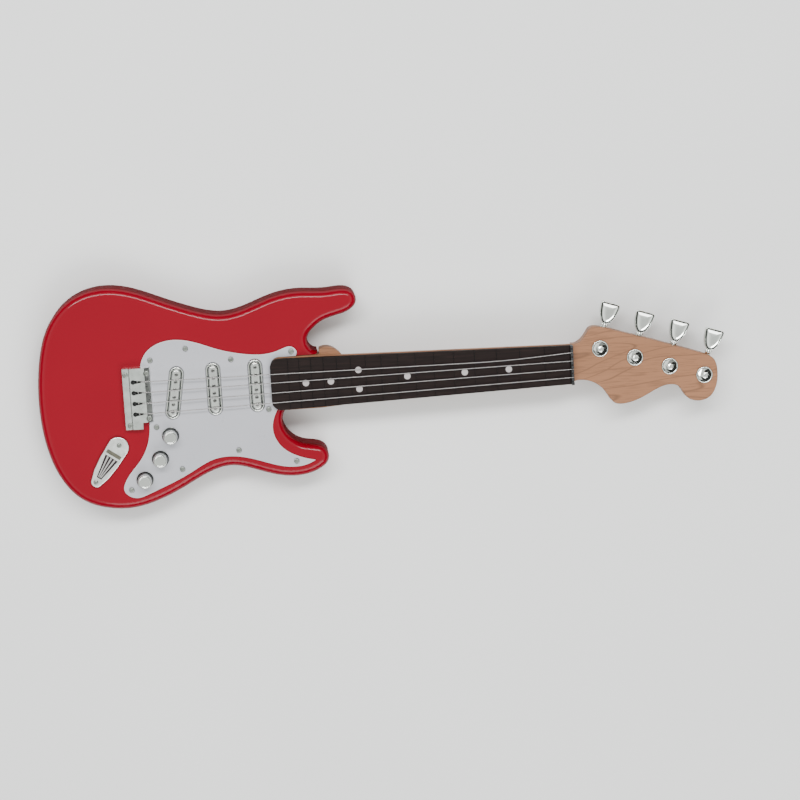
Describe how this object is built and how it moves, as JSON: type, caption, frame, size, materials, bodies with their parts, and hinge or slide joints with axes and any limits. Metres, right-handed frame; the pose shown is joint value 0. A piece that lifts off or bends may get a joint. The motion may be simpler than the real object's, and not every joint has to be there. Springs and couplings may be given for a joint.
{
  "type": "toy electric guitar",
  "caption": "Battery-powered toy electric guitar with a two-horned hollow body, bolted-on neck, metal strings, turning knobs and tuner keys.",
  "frame": {"origin": "under the middle of the guitar's bounding box, in the plane of its flat back", "axes": "+X up the neck to the headstock, +Y to the tuner side, +Z out of the front"},
  "size_m": [0.6412, 0.207, 0.0503],
  "materials": {
    "red_plastic": "polished red ABS moulding",
    "white_plastic": "satin white sheet with a bevelled edge",
    "chrome_plastic": "bright chrome-plated plastic",
    "silver_plastic": "satin silver-plated plastic",
    "black_plastic": "matte black",
    "wood_plastic": "satin wood-grain print",
    "fretboard_plastic": "matte dark brown with fine grain",
    "dot_plastic": "off-white",
    "screw_steel": "zinc-plated steel",
    "string_steel": "plain steel wire",
    "contact_steel": "nickel-plated spring steel",
    "switch_steel": "pressed steel",
    "speaker_steel": "black-coated steel",
    "speaker_paper": "black paper and film",
    "magnet_ferrite": "grey ferrite",
    "shaft_plastic": "white nylon",
    "sensor_brass": "brass disc",
    "board_green": "green circuit board with black parts",
    "cell_wrap": "dark printed wrap, no text"
  },
  "bodies": {
    "guitar": {"front_shell": "red_plastic", "back_shell": "red_plastic", "shell_screws": "screw_steel", "battery_door": "red_plastic", "battery_door_screw": "screw_steel", "battery_cells": "cell_wrap", "battery_contacts": "contact_steel", "circuit_board": "board_green", "circuit_board_screws": "screw_steel", "speaker_frame": "speaker_steel", "speaker_cone": "speaker_paper", "speaker_magnet": "magnet_ferrite", "power_switch_case": "switch_steel", "pickguard": "white_plastic", "pickguard_screws": "screw_steel", "bridge_pickup_ring": "chrome_plastic", "bridge_pickup_cover": "chrome_plastic", "middle_pickup_ring": "chrome_plastic", "middle_pickup_cover": "chrome_plastic", "neck_pickup_ring": "chrome_plastic", "neck_pickup_cover": "chrome_plastic", "pickup_pole_screws": "screw_steel", "potentiometers": "switch_steel", "potentiometer_nuts": "screw_steel", "bridge_cover": "silver_plastic", "bridge_screws": "screw_steel", "string_anchor": "black_plastic", "string_sensor": "sensor_brass", "string_1": "string_steel", "string_2": "string_steel", "string_3": "string_steel", "string_4": "string_steel", "nut": "black_plastic", "jack_plate": "silver_plastic", "jack_insert": "chrome_plastic", "jack_plate_screws": "screw_steel", "neck_shell": "wood_plastic", "neck_screws": "screw_steel", "fretboard": "fretboard_plastic", "fret_dots": "dot_plastic", "headstock_front": "wood_plastic", "headstock_screws": "screw_steel", "post_caps": "chrome_plastic", "tuner_bushings": "chrome_plastic"},
    "tuner_key_1": {"tuner_key_1": "chrome_plastic"},
    "tuner_key_2": {"tuner_key_2": "chrome_plastic"},
    "tuner_key_3": {"tuner_key_3": "chrome_plastic"},
    "tuner_key_4": {"tuner_key_4": "chrome_plastic"},
    "knob_1": {"knob_1": "chrome_plastic", "knob_shaft_1": "shaft_plastic"},
    "knob_2": {"knob_2": "chrome_plastic", "knob_shaft_2": "shaft_plastic"},
    "knob_3": {"knob_3": "chrome_plastic", "knob_shaft_3": "shaft_plastic"},
    "power_switch": {"power_switch_slider": "black_plastic"}
  },
  "joints": [
    {"name": "tuner_key_1_turn", "type": "hinge", "parent": "guitar", "child": "tuner_key_1", "pos_m": [0.20793, 0.03899, 0.03], "axis": [0.3256, 0.9455, 0], "continuous": true},
    {"name": "tuner_key_2_turn", "type": "hinge", "parent": "guitar", "child": "tuner_key_2", "pos_m": [0.24039, 0.02857, 0.03], "axis": [0.3256, 0.9455, 0], "continuous": true},
    {"name": "tuner_key_3_turn", "type": "hinge", "parent": "guitar", "child": "tuner_key_3", "pos_m": [0.27286, 0.01814, 0.03], "axis": [0.3256, 0.9455, 0], "continuous": true},
    {"name": "tuner_key_4_turn", "type": "hinge", "parent": "guitar", "child": "tuner_key_4", "pos_m": [0.30533, 0.00772, 0.03], "axis": [0.3256, 0.9455, 0], "continuous": true},
    {"name": "knob_1_turn", "type": "hinge", "parent": "guitar", "child": "knob_1", "pos_m": [-0.2017, -0.0363, 0.04], "axis": [0, 0, 1], "range_deg": [-140, 140]},
    {"name": "knob_2_turn", "type": "hinge", "parent": "guitar", "child": "knob_2", "pos_m": [-0.2126, -0.0574, 0.04], "axis": [0, 0, 1], "range_deg": [-140, 140]},
    {"name": "knob_3_turn", "type": "hinge", "parent": "guitar", "child": "knob_3", "pos_m": [-0.2282, -0.076, 0.04], "axis": [0, 0, 1], "range_deg": [-140, 140]},
    {"name": "power_switch_slide", "type": "slide", "parent": "guitar", "child": "power_switch", "axis": [1, 0, 0], "range_m": [0, 0.004]}
  ]
}
